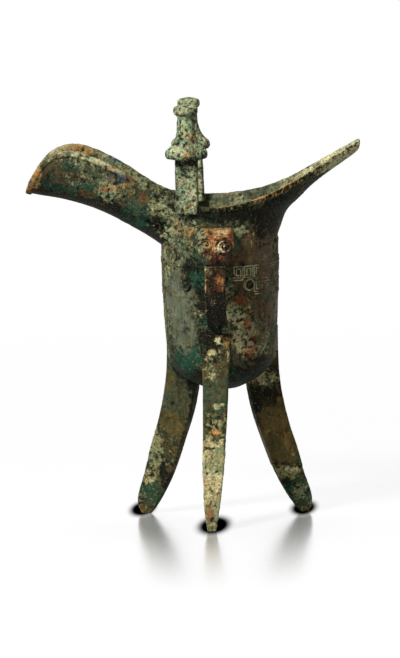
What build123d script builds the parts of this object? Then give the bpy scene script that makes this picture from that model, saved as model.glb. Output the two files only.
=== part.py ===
from build123d import *
import math
import os

os.makedirs("parts", exist_ok=True)

# A three-legged cast bronze pouring cup, in millimetres. Z is up from the surface that the feet
# stand on, X points along the tail and Y away from the handle. The bowl is round about its own
# upright axis, and the origin is under the middle of the whole vessel's outline.

# Casting
wall = 2.6
seam_gap = 0.08             # between two members that meet face to face
fit_gap = 0.12              # round a tenon in its mortise, or a foot on its seat
flush_depth = 0.3           # a tenon or a spacer stops this short of the wall's surface
overrun = 6.0               # how far a cutting solid runs past what it cuts

# Bowl
bowl_base_height = 64.0
bowl_turn_height = 85.0
bowl_flare_height = 137.0
bowl_base_radius = 26.5
bowl_waist_radius = 27.8
bowl_waist_height = 106.0
bowl_top_radius = 28.3
oval_shares = (0, 0.25, 0.5, 0.75, 1)

# Mouth and tail: egg-shaped outlines, round towards the spout and drawn out towards the tail
mouth_half_width = 30.6
tail_keel_reach = 68.0
tail_keel_height = 180.0
tail_end_reach = 68.6
mouth_level_shares = (0, 0.12, 0.23, 0.34, 0.42, 0.535, 0.65, 0.77, 0.88, 1, 1.16)
keel_reach_shares = (0, 0.018, 0.068, 0.131, 0.219, 0.345, 0.484, 0.66, 0.834, 1, 1.22)
half_width_shares = (0, 0.936, 0.955, 0.98, 1, 0.98, 0.955, 0.905, 0.81, 0.64, 0.3)

# Spout: a trough of U section that climbs from a window high in the bowl's wall
spout_reach = 93.5
spout_root_height = 134.6
spout_tip_height = 161.6
spout_half_width = 17.4
spout_turn_depth = 15.0
spout_reach_shares = (1.03, 0.93, 0.83, 0.7, 0.55, 0.42, 0.3, 0.12)
spout_drop_shares = (-0.02, 0.08, 0.14, 0.26, 0.48, 0.73, 1, 1.35)
spout_width_shares = (0.8, 0.87, 0.95, 1, 0.96, 0.93, 1, 1.12)

# Rim, drawn from the side: level beside the handle, up along the spout and up along the tail
rim_height = 155.8
spout_crest_height = 182.2
tail_crest_height = 184.4
rim_tail_reach_shares = (1.12, 0.985, 0.89, 0.71, 0.54, 0.345, 0.175)
rim_tail_rise_shares = (1.2, 1, 0.87, 0.615, 0.38, 0.165, 0.05)
rim_spout_reach_shares = (0.06, 0.24, 0.34, 0.48, 0.61, 0.77, 0.87, 0.945, 0.995, 1.012)
rim_spout_rise_shares = (0, 0.1, 0.26, 0.59, 0.84, 1, 0.9, 0.63, 0.27, 0)

# Lip: the rim's thicker edge
lip_height = 2.6
lip_proud = 0.8

# Where the three castings of the vessel meet
spout_seam_reach = 23.2
spout_seam_height = 133.4
tail_seam_reach = 17.0
tail_seam_height = 138.5

# Mask band: three raised lines round the bowl, and the round eyes of the mask
band_top_height = 128.4
band_base_height = 111.8
band_line_width = 0.8
band_line_gap = 1.5
band_proud = 0.35
band_break_half_width = 7.6
eye_height = 117.4
eye_radius = 2.8
eye_proud = 0.9
eye_round = 0.6
eye_places = ((-15.2, -1), (15.2, -1), (-8.6, 1), (8.6, 1))

# Posts, which straddle the rim, and their caps
post_reach = 13.9
post_circle_radius = 29.9
post_width = 10.7
post_depth = 9.6
post_corner_radius = 1.3
post_foot_depth = 3.2
post_tenon_width = 6.0
post_tenon_depth = 4.4
post_tenon_height = 9.0
posts = {"front": (-1, 179.3, 26.0, 10.25), "back": (1, 178.4, 24.8, 9.4)}
brim_edge_shares = ((0.93, 0), (1, 0.095), (0.89, 0.17))
cap_bell_shares = ((0.89, 0.17), (0.635, 0.277), (0.47, 0.425), (0.425, 0.64), (0.47, 0.79))
cap_disc_shares = ((0.575, 0.845), (0.575, 0.925))

# Legs: blades of rounded wedge section, with the flat side out
leg_splay = 46.2
leg_depth = 15.3
leg_width = 14.6
leg_top_height = 94.0
leg_level_shares = (0, 0.03, 0.085, 0.17, 0.3, 0.43, 0.55, 0.68, 0.81, 0.92, 1)
leg_reach_shares = (0.96, 0.993, 0.994, 0.935, 0.842, 0.753, 0.68, 0.626, 0.6, 0.596, 0.597)
leg_depth_shares = (0.25, 0.516, 0.757, 0.882, 0.954, 0.98, 1, 1, 1, 0.98, 0.95)
leg_width_shares = (0.29, 0.34, 0.47, 0.6, 0.73, 0.79, 0.845, 0.89, 0.93, 0.97, 1)
leg_ridge_share = 0.42
leg_corner_share = 0.16
leg_tenon_radius = 2.6
leg_tenon_reach = 18.0
legs = {"front": (267.5, 1.6), "left": (153, 0), "right": (27, 0)}

# Handle: a strap that leaves the muzzle of an animal's head and turns back into the wall
handle_reach = 43.8
strap_width = 9.6
strap_thickness = 3.0
strap_turn_radius = 15.0
strap_root_height = 98.0
strap_edge_radius = 0.9
handle_tenon_width = 6.4
handle_tenon_height = 1.8
head_reach = 45.4
head_top_height = 141.5
head_muzzle_height = 129.0
head_root_half_width = 13.2
head_corner_radius = 1.6
head_reach_shares = (0.5, 0.72, 0.9, 1)
head_top_shares = (1.42, 1.28, 1, 0.62)
head_cheek_level_shares = (0.75, 0.74, 0.7, 0.45)
head_base_shares = (-0.3, -0.17, -0.03, -0.03)
head_top_width_shares = (0.62, 0.54, 0.42, 0.36)
head_cheek_width_shares = (1, 0.72, 0.52, 0.4)
head_base_width_shares = (0.4, 0.38, 0.375, 0.365)
head_eye_radius = 1.7
head_eye_offset = 4.6
head_eye_height = 137.4
head_tenon_height = 5.0

# Spacers: bronze plates that held the core off the mould, left in the wall
spacer_size = 4.6
floor_spacer_reach = 12.5
floor_spacer_angles = (90, 210, 330)
spout_spacer_reaches = (46.0, 64.0)

post_offset = math.sqrt(post_circle_radius**2 - post_reach**2)
back_reach = post_offset + posts["back"][3]
axis_x = (spout_reach - tail_end_reach) / 2
axis_y = (leg_splay - back_reach) / 2
head_tenon_middle = (head_top_height + head_muzzle_height) / 2
strap_tenon_middle = strap_root_height + strap_thickness / 2
bowl_axis = Axis((axis_x, axis_y, 0), (0, 0, 1))


def level(height):
    """The horizontal plane at this height, centred on the bowl."""
    return Plane(origin=(axis_x, axis_y, height))


def across(reach):
    """The upright plane across the vessel, this far towards the tail."""
    return Plane(origin=(axis_x + reach, axis_y, 0), x_dir=(0, 1, 0), z_dir=(1, 0, 0))


def lengthwise(depth):
    """The upright plane along the vessel, this far towards the back."""
    return Plane(origin=(axis_x, axis_y + depth, 0), x_dir=(1, 0, 0), z_dir=(0, -1, 0))


def between(start, end, share):
    return start + (end - start) * share


def slopes(heights, values):
    """How fast the values change with height, from each one's neighbours."""
    last = len(heights) - 1
    pairs = [(max(i - 1, 0), min(i + 1, last)) for i in range(last + 1)]
    return [(values[b] - values[a]) / (heights[b] - heights[a]) for a, b in pairs]


def quarter_oval(height, radius, rise):
    """A quarter of an upright oval, from its widest point at this height to its end on the axis."""
    turns = [math.radians(90 * share) for share in oval_shares]
    points = [(radius * math.cos(turn), height + rise * math.sin(turn)) for turn in turns[:-1]]
    return Spline(*points, (0, height + rise), tangents=[(0, rise), (-radius, 0)])


def bowl_form(growth):
    """The bowl up to where it flares, as a solid that is this much larger all round."""
    with BuildPart() as form:
        with BuildSketch(lengthwise(0)):
            with BuildLine():
                base = quarter_oval(
                    bowl_turn_height,
                    bowl_base_radius + growth,
                    bowl_base_height - bowl_turn_height - growth,
                )
                side = Spline(
                    base @ 0,
                    (bowl_waist_radius + growth, bowl_waist_height),
                    (bowl_top_radius + growth, bowl_flare_height),
                )
                Polyline(side @ 1, (0, bowl_flare_height), base @ 1)
            make_face()
        revolve(axis=bowl_axis)
    return form.part


def mouth_form(growth):
    """The flaring mouth and the tail, as a solid that is this much larger along its slopes."""
    heights = [between(bowl_flare_height, tail_keel_height, share) for share in mouth_level_shares]
    reaches = [between(bowl_top_radius, tail_keel_reach, share) for share in keel_reach_shares]
    widths = [mouth_half_width * share for share in half_width_shares]
    widths[0] = bowl_top_radius
    reach_slopes = slopes(heights, reaches)
    width_slopes = slopes(heights, widths)
    reach_slopes[0] = width_slopes[0] = 0
    with BuildPart() as form:
        for i, height in enumerate(heights):
            reach = reaches[i] + growth * math.hypot(1, reach_slopes[i])
            width = widths[i] + growth * math.hypot(1, width_slopes[i])
            with BuildSketch(level(height)):
                with BuildLine():
                    EllipticalCenterArc((0, 0), reach, width, start_angle=-90, arc_size=180)
                    EllipticalCenterArc((0, 0), width, width, start_angle=90, arc_size=180)
                make_face()
        loft()
    return form.part


def spout_form(growth):
    """The spout's trough, filled to above its rim, this much larger along its slopes."""
    reaches = [spout_reach * share for share in spout_reach_shares]
    floors = [between(spout_tip_height, spout_root_height, share) for share in spout_drop_shares]
    floor_slopes = slopes(reaches, floors)
    top = spout_crest_height + overrun
    with BuildPart() as form:
        for i, reach in enumerate(reaches):
            width = spout_half_width * spout_width_shares[i] + growth
            turn_depth = spout_turn_depth + growth * math.hypot(1, floor_slopes[i])
            turn_height = floors[i] + spout_turn_depth
            with BuildSketch(across(-reach)):
                with BuildLine():
                    turn = EllipticalCenterArc(
                        (0, turn_height), width, turn_depth, start_angle=180, arc_size=180
                    )
                    Polyline(turn @ 1, (width, top), (-width, top), turn @ 0)
                make_face()
        loft()
    return form.part


def rim_points(drop):
    """The rim's line from the tail to the spout, moved square to itself into the metal."""
    tail_rise = tail_crest_height - rim_height
    spout_rise = spout_crest_height - rim_height
    tail = zip(rim_tail_reach_shares, rim_tail_rise_shares)
    spout = zip(rim_spout_reach_shares, rim_spout_rise_shares)
    points = [(tail_end_reach * reach, rim_height + tail_rise * rise) for reach, rise in tail]
    points += [(-spout_reach * reach, rim_height + spout_rise * rise) for reach, rise in spout]
    last = len(points) - 1
    moved = []
    for i, (x, z) in enumerate(points):
        before, after = points[max(i - 1, 0)], points[min(i + 1, last)]
        run, rise = after[0] - before[0], after[1] - before[1]
        length = math.hypot(run, rise)
        moved.append((x + drop * -rise / length, z + drop * run / length))
    return moved


def above_rim(drop):
    """Everything above the rim's line."""
    top = tail_crest_height + 2 * overrun
    half_width = mouth_half_width + 2 * overrun
    with BuildPart() as form:
        with BuildSketch(lengthwise(0)):
            with BuildLine():
                rim = Spline(rim_points(drop))
                left, right = -spout_reach - 2 * overrun, tail_end_reach + 2 * overrun
                Polyline(
                    rim @ 1, (left, (rim @ 1).Y), (left, top), (right, top), (right, (rim @ 0).Y), rim @ 0
                )
            make_face()
        extrude(amount=half_width, both=True)
    return form.part


def tail_end():
    """What lies past the blunt end of the tail."""
    with BuildPart(across(tail_end_reach)) as form:
        with Locations((0, tail_crest_height, 0)):
            Box(
                2 * mouth_half_width,
                2 * (tail_crest_height - rim_height),
                tail_keel_reach,
                align=(Align.CENTER, Align.CENTER, Align.MIN),
            )
    return form.part


def zone(seam_reach, seam_height, direction, gap):
    """The part of space beyond a seam: outwards along the vessel and above the seam's height."""
    length = spout_reach + tail_end_reach
    with BuildPart(level(seam_height + gap)) as form:
        with Locations((direction * (seam_reach + gap), 0, 0)):
            Box(
                length,
                length,
                length,
                align=(Align.MIN if direction > 0 else Align.MAX, Align.CENTER, Align.MIN),
            )
    return form.part


def eye_boss(offset, side):
    """One round eye of the mask, standing out of the wall."""
    turn = math.atan2(side * math.sqrt(bowl_top_radius**2 - offset**2), offset)
    out = (math.cos(turn), math.sin(turn), 0)
    seat = bowl_top_radius - wall / 2
    origin = (axis_x + seat * out[0], axis_y + seat * out[1], eye_height)
    with BuildPart() as form:
        with BuildSketch(Plane(origin=origin, z_dir=out)):
            Circle(eye_radius)
        extrude(amount=wall / 2 + eye_proud)
        fillet(form.faces().sort_by(Axis(origin, out))[-1].edges(), radius=eye_round)
    return form.part


def leg_plane(angle, lean, height):
    """The level plane through a leg, with X along its splay."""
    turn = math.radians(angle)
    origin = (axis_x - lean * math.sin(turn), axis_y + lean * math.cos(turn), height)
    return Plane(origin=origin, x_dir=(math.cos(turn), math.sin(turn), 0))


def leg_tenon(angle, growth):
    """The round tenon that rises from a leg into the bowl's floor."""
    with BuildPart() as form:
        with BuildSketch(leg_plane(angle, 0, bowl_base_height)):
            with Locations((leg_tenon_reach, 0)):
                Circle(leg_tenon_radius + growth)
        extrude(amount=bowl_turn_height - bowl_base_height)
    return form.part


def handle_tenon(height, depth, growth):
    """A flat tenon that runs back from the handle into the wall."""
    with BuildPart() as form:
        with BuildSketch(lengthwise(-bowl_top_radius - overrun / 2)):
            with Locations((0, height)):
                Rectangle(handle_tenon_width + 2 * growth, depth + 2 * growth)
        extrude(amount=-overrun)
    return form.part


def strap_tenon(growth):
    """The tenon that rises from the strap into the head."""
    with BuildPart() as form:
        with BuildSketch(level(head_muzzle_height)):
            with Locations((0, strap_thickness / 2 - handle_reach)):
                Rectangle(handle_tenon_width + 2 * growth, handle_tenon_height + 2 * growth)
        extrude(amount=head_tenon_height + growth)
    return form.part


def floor_plates(growth):
    """The floor's spacers as plates through the wall, or their windows."""
    with BuildPart() as form:
        for angle in floor_spacer_angles:
            with BuildSketch(leg_plane(angle, 0, bowl_base_height - overrun)):
                with Locations((floor_spacer_reach, 0)):
                    Rectangle(spacer_size + 2 * growth, spacer_size + 2 * growth)
            extrude(amount=3 * overrun)
    return form.part


def spout_plates(growth):
    """The same in the floor of the spout."""
    with BuildPart() as form:
        with BuildSketch(level(spout_root_height)):
            with Locations(*((-reach, 0) for reach in spout_spacer_reaches)):
                Rectangle(spacer_size + 2 * growth, spacer_size + 2 * growth)
        extrude(amount=spout_tip_height - spout_root_height)
    return form.part


def eye_point(side):
    """Where an eye of the animal's head stands."""
    reach = head_reach - head_eye_radius
    return (axis_x + side * head_eye_offset, axis_y - reach, head_eye_height)


bowl_outside = bowl_form(0)
bowl_inside = bowl_form(-wall)
mouth_inside = mouth_form(-wall)
spout_inside = spout_form(-wall)
bowl_lining = bowl_form(flush_depth - wall)
sky = above_rim(0)
tail_past = tail_end()

# The lip is a band along the rim that stands proud of the wall outside
with BuildPart() as lip:
    add(mouth_form(lip_proud))
    add(spout_form(lip_proud))
    add(sky, mode=Mode.SUBTRACT)
    add(above_rim(lip_height), mode=Mode.INTERSECT)
    for hollow in (mouth_inside, spout_inside, tail_past):
        add(hollow, mode=Mode.SUBTRACT)

# The whole vessel without its members, to be divided at the seams
with BuildPart() as vessel:
    for form in (bowl_outside, mouth_form(0), spout_form(0)):
        add(form)
    for hollow in (bowl_inside, mouth_inside, spout_inside, sky, tail_past):
        add(hollow, mode=Mode.SUBTRACT)
    add(lip.part)

with BuildPart() as band:
    for height in (band_top_height, band_top_height - band_line_gap, band_base_height):
        with BuildSketch(level(height - band_line_width / 2)):
            Circle(bowl_top_radius + wall)
        extrude(amount=band_line_width)
    add(bowl_form(band_proud), mode=Mode.INTERSECT)
    add(bowl_form(-wall / 2), mode=Mode.SUBTRACT)
    with BuildSketch(level(band_base_height)):
        with Locations((0, -bowl_top_radius)):
            Rectangle(2 * band_break_half_width, bowl_top_radius)
    extrude(amount=band_top_height - band_base_height + overrun, mode=Mode.SUBTRACT)

# Cup: the bowl and the sides of the mouth, with the mortises of its members
with BuildPart() as cup:
    add(vessel.part)
    add(zone(spout_seam_reach, spout_seam_height, -1, 0), mode=Mode.SUBTRACT)
    add(zone(tail_seam_reach, tail_seam_height, 1, 0), mode=Mode.SUBTRACT)
    add(band.part)
    for offset, side in eye_places:
        add(eye_boss(offset, side))
    add(bowl_inside, mode=Mode.SUBTRACT)
    for angle, lean in legs.values():
        add(leg_tenon(angle, fit_gap), mode=Mode.SUBTRACT)
    add(handle_tenon(head_tenon_middle, head_tenon_height, fit_gap), mode=Mode.SUBTRACT)
    add(handle_tenon(strap_tenon_middle, handle_tenon_height, fit_gap), mode=Mode.SUBTRACT)
    add(floor_plates(fit_gap), mode=Mode.SUBTRACT)
cup.part.label = "cup"
export_step(cup.part, "parts/cup.step")

# Spout, with the windows of its spacers
with BuildPart() as spout:
    add(vessel.part)
    add(zone(spout_seam_reach, spout_seam_height, -1, seam_gap), mode=Mode.INTERSECT)
    add(spout_plates(fit_gap), mode=Mode.SUBTRACT)
spout.part.label = "spout"
export_step(spout.part, "parts/spout.step")

# Tail
with BuildPart() as tail:
    add(vessel.part)
    add(zone(tail_seam_reach, tail_seam_height, 1, seam_gap), mode=Mode.INTERSECT)
tail.part.label = "tail"
export_step(tail.part, "parts/tail.step")

# Spacers: the plates, cut back to lie just under both faces of the wall
with BuildPart() as floor_spacers:
    add(floor_plates(0))
    add(bowl_form(-flush_depth), mode=Mode.INTERSECT)
    add(bowl_lining, mode=Mode.SUBTRACT)
floor_spacers.part.label = "floor_spacers"
export_step(floor_spacers.part, "parts/floor_spacers.step")

with BuildPart() as spout_spacers:
    add(spout_plates(0))
    add(spout_form(-flush_depth), mode=Mode.INTERSECT)
    add(spout_form(flush_depth - wall), mode=Mode.SUBTRACT)
spout_spacers.part.label = "spout_spacers"
export_step(spout_spacers.part, "parts/spout_spacers.step")

# Legs: each one lofted from the floor up, hollowed to the bowl and given its tenon
for name, (angle, lean) in legs.items():
    with BuildPart() as leg:
        for i, share in enumerate(leg_level_shares):
            reach = leg_splay * leg_reach_shares[i]
            depth = leg_depth * leg_depth_shares[i]
            half_width = leg_width * leg_width_shares[i] / 2
            with BuildSketch(leg_plane(angle, lean * (share - 1), leg_top_height * share)):
                Polygon(
                    (reach, -half_width),
                    (reach, half_width),
                    (reach - depth, half_width * leg_ridge_share),
                    (reach - depth, -half_width * leg_ridge_share),
                )
                fillet(vertices(), radius=half_width * leg_corner_share)
        loft()
        add(bowl_form(fit_gap), mode=Mode.SUBTRACT)
        add(leg_tenon(angle, 0))
        add(bowl_lining, mode=Mode.SUBTRACT)
    leg.part.label = "leg_" + name
    export_step(leg.part, f"parts/leg_{name}.step")

# Posts and caps
with BuildPart() as rim_room:
    add(mouth_form(lip_proud + fit_gap))
    add(mouth_form(-wall - fit_gap), mode=Mode.SUBTRACT)
    add(above_rim(-fit_gap), mode=Mode.SUBTRACT)

for name, (side, shoulder, cap_height, brim_radius) in posts.items():
    foot = rim_height - post_foot_depth
    stand = (axis_x - post_reach, axis_y + side * post_offset)
    with BuildPart() as post:
        with BuildSketch(Plane(origin=(*stand, foot))):
            RectangleRounded(post_width, post_depth, post_corner_radius)
        extrude(amount=shoulder - foot)
        add(rim_room.part, mode=Mode.SUBTRACT)
        with BuildSketch(Plane(origin=(*stand, shoulder))):
            Rectangle(post_tenon_width, post_tenon_depth)
        extrude(amount=post_tenon_height)
    post.part.label = "post_" + name
    export_step(post.part, f"parts/post_{name}.step")

    base = shoulder + seam_gap
    with BuildPart() as cap:
        with BuildSketch(Plane(origin=(*stand, base), x_dir=(1, 0, 0), z_dir=(0, -1, 0))):
            with BuildLine():
                brim, bell, disc = (
                    [(brim_radius * out, cap_height * up) for out, up in shares]
                    for shares in (brim_edge_shares, cap_bell_shares, cap_disc_shares)
                )
                ThreePointArc(*brim)
                Spline(*bell)
                Polyline(bell[-1], *disc)
                disc_radius, disc_top = disc[-1]
                dome = quarter_oval(disc_top, disc_radius, cap_height - disc_top)
                Polyline(dome @ 1, (0, 0), brim[0])
            make_face()
        revolve(axis=Axis((*stand, base), (0, 0, 1)))
        with BuildSketch(Plane(origin=(*stand, base))):
            Rectangle(post_tenon_width + 2 * fit_gap, post_tenon_depth + 2 * fit_gap)
        extrude(amount=post_tenon_height, mode=Mode.SUBTRACT)
    cap.part.label = "cap_" + name
    export_step(cap.part, f"parts/cap_{name}.step")

# Handle head: lofted from its wide root on the wall forward to the muzzle
with BuildPart() as handle_head:
    head_depth = head_top_height - head_muzzle_height
    for i, share in enumerate(head_reach_shares):
        corners = [
            (head_root_half_width * width, head_muzzle_height + head_depth * height)
            for width, height in (
                (head_base_width_shares[i], head_base_shares[i]),
                (head_cheek_width_shares[i], head_cheek_level_shares[i]),
                (head_top_width_shares[i], head_top_shares[i]),
            )
        ]
        with BuildSketch(lengthwise(-head_reach * share)):
            Polygon(*corners, *((-x, z) for x, z in reversed(corners)))
            fillet(vertices(), radius=head_corner_radius)
    loft()
    with Locations(*(eye_point(side) for side in (-1, 1))):
        Sphere(head_eye_radius)
    with BuildSketch(level(head_muzzle_height + seam_gap)):
        with Locations((0, -head_reach)):
            Rectangle(2 * head_root_half_width, 2 * (head_reach - handle_reach + strap_thickness) + fit_gap)
    extrude(amount=-overrun, mode=Mode.SUBTRACT)
    add(strap_tenon(fit_gap), mode=Mode.SUBTRACT)
    add(bowl_form(fit_gap), mode=Mode.SUBTRACT)
    add(mouth_form(fit_gap), mode=Mode.SUBTRACT)
    add(handle_tenon(head_tenon_middle, head_tenon_height, 0))
    add(bowl_lining, mode=Mode.SUBTRACT)
handle_head.part.label = "handle_head"
export_step(handle_head.part, "parts/handle_head.step")

# Handle strap: straight down from the muzzle, then a quarter turn back into the wall
with BuildPart() as handle_strap:
    outside, inside = -handle_reach, strap_thickness - handle_reach
    turn_height = strap_root_height + strap_turn_radius
    root = outside + strap_turn_radius
    with BuildSketch(across(0)):
        with BuildLine():
            outer = Line((outside, head_muzzle_height), (outside, turn_height))
            outer_turn = TangentArc(outer @ 1, (root, strap_root_height), tangent=(0, -1))
            end = Polyline(
                outer_turn @ 1,
                (-bowl_base_radius, strap_root_height),
                (-bowl_base_radius, strap_root_height + strap_thickness),
                (root, strap_root_height + strap_thickness),
            )
            inner_turn = TangentArc(end @ 1, (inside, turn_height), tangent=(-1, 0))
            Polyline(inner_turn @ 1, (inside, head_muzzle_height), outer @ 0)
        make_face()
    extrude(amount=strap_width / 2, both=True)
    fillet(handle_strap.faces().filter_by(Axis.X).edges(), radius=strap_edge_radius)
    add(bowl_form(fit_gap), mode=Mode.SUBTRACT)
    add(strap_tenon(0))
    add(handle_tenon(strap_tenon_middle, handle_tenon_height, 0))
    add(bowl_lining, mode=Mode.SUBTRACT)
handle_strap.part.label = "handle_strap"
export_step(handle_strap.part, "parts/handle_strap.step")
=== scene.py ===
import math

import bmesh
import bpy
import numpy as np
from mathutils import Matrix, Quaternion, Vector, noise
from mathutils.bvhtree import BVHTree


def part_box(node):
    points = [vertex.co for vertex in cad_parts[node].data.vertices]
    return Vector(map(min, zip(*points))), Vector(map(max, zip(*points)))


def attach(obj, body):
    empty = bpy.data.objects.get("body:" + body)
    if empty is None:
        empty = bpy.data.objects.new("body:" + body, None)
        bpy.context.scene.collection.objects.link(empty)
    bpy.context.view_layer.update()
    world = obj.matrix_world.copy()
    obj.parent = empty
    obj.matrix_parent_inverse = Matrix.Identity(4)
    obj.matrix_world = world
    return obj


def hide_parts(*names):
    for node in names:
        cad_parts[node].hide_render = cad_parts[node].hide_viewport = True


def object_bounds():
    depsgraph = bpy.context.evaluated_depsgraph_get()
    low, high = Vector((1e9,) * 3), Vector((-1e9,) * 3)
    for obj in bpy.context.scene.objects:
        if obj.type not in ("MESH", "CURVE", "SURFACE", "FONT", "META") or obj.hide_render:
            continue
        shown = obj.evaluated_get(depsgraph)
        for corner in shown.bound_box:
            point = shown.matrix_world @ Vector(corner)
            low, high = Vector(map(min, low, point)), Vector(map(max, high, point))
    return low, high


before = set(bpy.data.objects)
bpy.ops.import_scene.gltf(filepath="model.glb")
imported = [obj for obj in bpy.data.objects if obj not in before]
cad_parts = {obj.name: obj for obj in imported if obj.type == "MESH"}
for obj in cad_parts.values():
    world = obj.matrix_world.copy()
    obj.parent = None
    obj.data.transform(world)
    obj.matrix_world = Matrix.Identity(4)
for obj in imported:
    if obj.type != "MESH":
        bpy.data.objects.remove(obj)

cadBox = [list(corner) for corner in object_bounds()]
scene = bpy.context.scene
mm = 0.001
weld = 0.001 * mm  # points that lie closer than this are one
turn = math.radians


def middleOf(node):
    low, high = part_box(node)
    return (low + high) / 2


def addObject(name, data):
    made = bpy.data.objects.new(name, data)
    scene.collection.objects.link(made)
    return made


# The bowl's upright axis. All places below are in millimetres from it: x to the tail, y to the back, z up
bowlAxis = np.array((
    middleOf("handle_strap").x,
    (middleOf("post_front").y + middleOf("post_back").y) / 2,
    0,
))


# Camera

camera = {
    "target": (2.11, 5.19, 92.9),  # mm, in the middle of the picture
    "azimuth": 3.5,
    "elevation": 7.3,
    "roll": -1.0,
    "distance": 5000,
    "pictureHeight": 319.66,  # mm, at the target
    "sensor": 36,
}


def makeCamera(set):
    side, rise = turn(set["azimuth"]), turn(set["elevation"])
    back = Vector((math.sin(side) * math.cos(rise), -math.cos(side) * math.cos(rise), math.sin(rise)))
    lens = bpy.data.cameras.new("camera")
    lens.sensor_width = set["sensor"]
    lens.lens = set["sensor"] * set["distance"] / set["pictureHeight"]
    eye = addObject("camera", lens)
    eye.location = (Vector(set["target"]) + set["distance"] * back) * mm
    eye.rotation_mode = "QUATERNION"
    eye.rotation_quaternion = back.to_track_quat("Z", "Y") @ Quaternion((0, 0, 1), turn(set["roll"]))
    scene.camera = eye


makeCamera(camera)
print("camera set")


# Mesh helpers

def readVectors(mesh, key):
    flat = np.empty(len(mesh.vertices) * 3)
    mesh.vertices.foreach_get(key, flat)
    return flat.reshape(-1, 3)


def readPoints(mesh):
    return (readVectors(mesh, "co") - bowlAxis) / mm


def writePoints(mesh, at):
    world = np.clip(at * mm + bowlAxis, cadBox[0], cadBox[1])
    mesh.vertices.foreach_set("co", world.ravel())
    mesh.update()


grainSet = {
    "fade": 0.9,  # how much weaker each finer octave is
    "finer": 2.1,  # how much finer each octave is
    "shift": (17.3, 5.1, 9.7),  # from one seed to the next
}


def grain(at, size, octaves=3, seed=0):
    # soft noise of about -0.6 to 0.6, whose lumps are this many mm across
    shift = Vector(grainSet["shift"]) * seed
    fade, finer = grainSet["fade"], grainSet["finer"]
    return np.array([noise.fractal(Vector(p) + shift, fade, finer, octaves) for p in at / size])


def ease(value, start, end):
    share = np.clip((value - start) / (end - start), 0, 1)
    return share * share * (3 - 2 * share)


spotEdge = (1.5, 0.6)  # in half sizes, where a spot ends and where it is full
spotRag = {"share": 0.7, "size": 3.0}  # how ragged its outline is, in half sizes, and the lumps in mm


def spread(at, spots, ragged):
    # adds up soft spots: middle, half sizes in mm and strength, with ragged outlines
    cover = np.zeros(len(at))
    for spot, size, strength in spots:
        away = np.sqrt((((at - spot) / size) ** 2).sum(1)) + ragged
        cover += strength * ease(away, *spotEdge)
    return cover


def copyOf(node, grow=0.0, pushes=()):
    # a welded copy of a node's mesh, grown by this many mm, with flat ends pushed out of its box
    form = bmesh.new()
    form.from_mesh(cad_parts[node].data)
    bmesh.ops.remove_doubles(form, verts=form.verts, dist=weld)
    bmesh.ops.recalc_face_normals(form, faces=form.faces)
    form.normal_update()
    low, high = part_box(node)
    for vert in form.verts:
        vert.co += vert.normal * grow * mm
    for axis, by in pushes:
        edge = high[axis] if by > 0 else low[axis]
        for vert in form.verts:
            if abs(vert.co[axis] - edge) < 2 * weld:
                vert.co[axis] += by * mm
    return form


def takeMesh(form, name):
    mesh = bpy.data.meshes.new(name)
    form.to_mesh(mesh)
    form.free()
    return mesh


def discard(piece):
    mesh = piece.data
    bpy.data.objects.remove(piece)
    bpy.data.meshes.remove(mesh)


def settle(piece):
    # bakes the piece's modifiers into its mesh
    shape = bpy.data.meshes.new_from_object(piece.evaluated_get(bpy.context.evaluated_depsgraph_get()))
    old = piece.data
    piece.modifiers.clear()
    piece.data = shape
    bpy.data.meshes.remove(old)
    shape.name = piece.name


def recast(name, forms, voxel):
    # melts the forms into one closed skin of small even faces
    whole = bmesh.new()
    for form in forms:
        part = takeMesh(form, "part")
        whole.from_mesh(part)
        bpy.data.meshes.remove(part)
    piece = addObject(name, takeMesh(whole, name))
    melt = piece.modifiers.new("melt", "REMESH")
    melt.mode = "VOXEL"
    melt.voxel_size = voxel * mm * 1
    settle(piece)
    return piece


def refine(piece, chosen):
    # halves the edges of the faces whose corners are all chosen
    form = bmesh.new()
    form.from_mesh(piece.data)
    form.verts.ensure_lookup_table()
    faces = [f for f in form.faces if all(chosen[v.index] for v in f.verts)]
    edges = {e for f in faces for e in f.edges}
    bmesh.ops.subdivide_edges(form, edges=list(edges), cuts=1, use_grid_fill=True)
    form.to_mesh(piece.data)
    form.free()


def cutPiece(piece, box, operation):
    # keeps what is inside the box, or what is outside it
    low, high = (np.array(corner) * mm + bowlAxis for corner in box)
    form = bmesh.new()
    bmesh.ops.create_cube(form, size=1)
    for vert in form.verts:
        vert.co = [low[i] if vert.co[i] < 0 else high[i] for i in range(3)]
    cutter = addObject("cutter", takeMesh(form, "cutter"))
    cut = piece.modifiers.new("cut", "BOOLEAN")
    cut.solver = "MANIFOLD"
    cut.operation = operation
    cut.object = cutter
    settle(piece)
    discard(cutter)


fullMask = 1.5  # a mask above 1 also fills the gaps between its grains
sharpAngle = 50  # degrees, from which an edge is shaded sharp


def dress(piece, masks, material, slot, *nodes):
    # paints the masks on the points, and puts the piece in the place of its nodes
    mesh = piece.data
    for key, values in masks.items():
        paint = mesh.attributes.new(key, "FLOAT", "POINT")
        paint.data.foreach_set("value", np.clip(values, 0, fullMask).astype(np.float32))
    mesh.shade_smooth()
    mesh.set_sharp_from_angle(angle=turn(sharpAngle))
    mesh.materials.clear()
    mesh.materials.append(material)
    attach(piece, "root")
    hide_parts(*nodes)
    print(piece.name, len(mesh.vertices), "points")


# Shader helpers and the two groups that every finish shares

def put(tree, kind, inputs, **settings):
    made = tree.nodes.new(kind)
    for key, value in settings.items():
        setattr(made, key, value)
    for key, value in inputs.items():
        if isinstance(value, bpy.types.NodeSocket):
            tree.links.new(value, made.inputs[key])
        else:
            made.inputs[key].default_value = value
    return made


def calc(tree, operation, *values):
    return put(tree, "ShaderNodeMath", dict(enumerate(values)), operation=operation).outputs[0]


def vectorCalc(tree, operation, *values):
    made = put(tree, "ShaderNodeVectorMath", dict(enumerate(values)), operation=operation)
    return made.outputs["Value" if operation == "LENGTH" else "Vector"]


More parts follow.
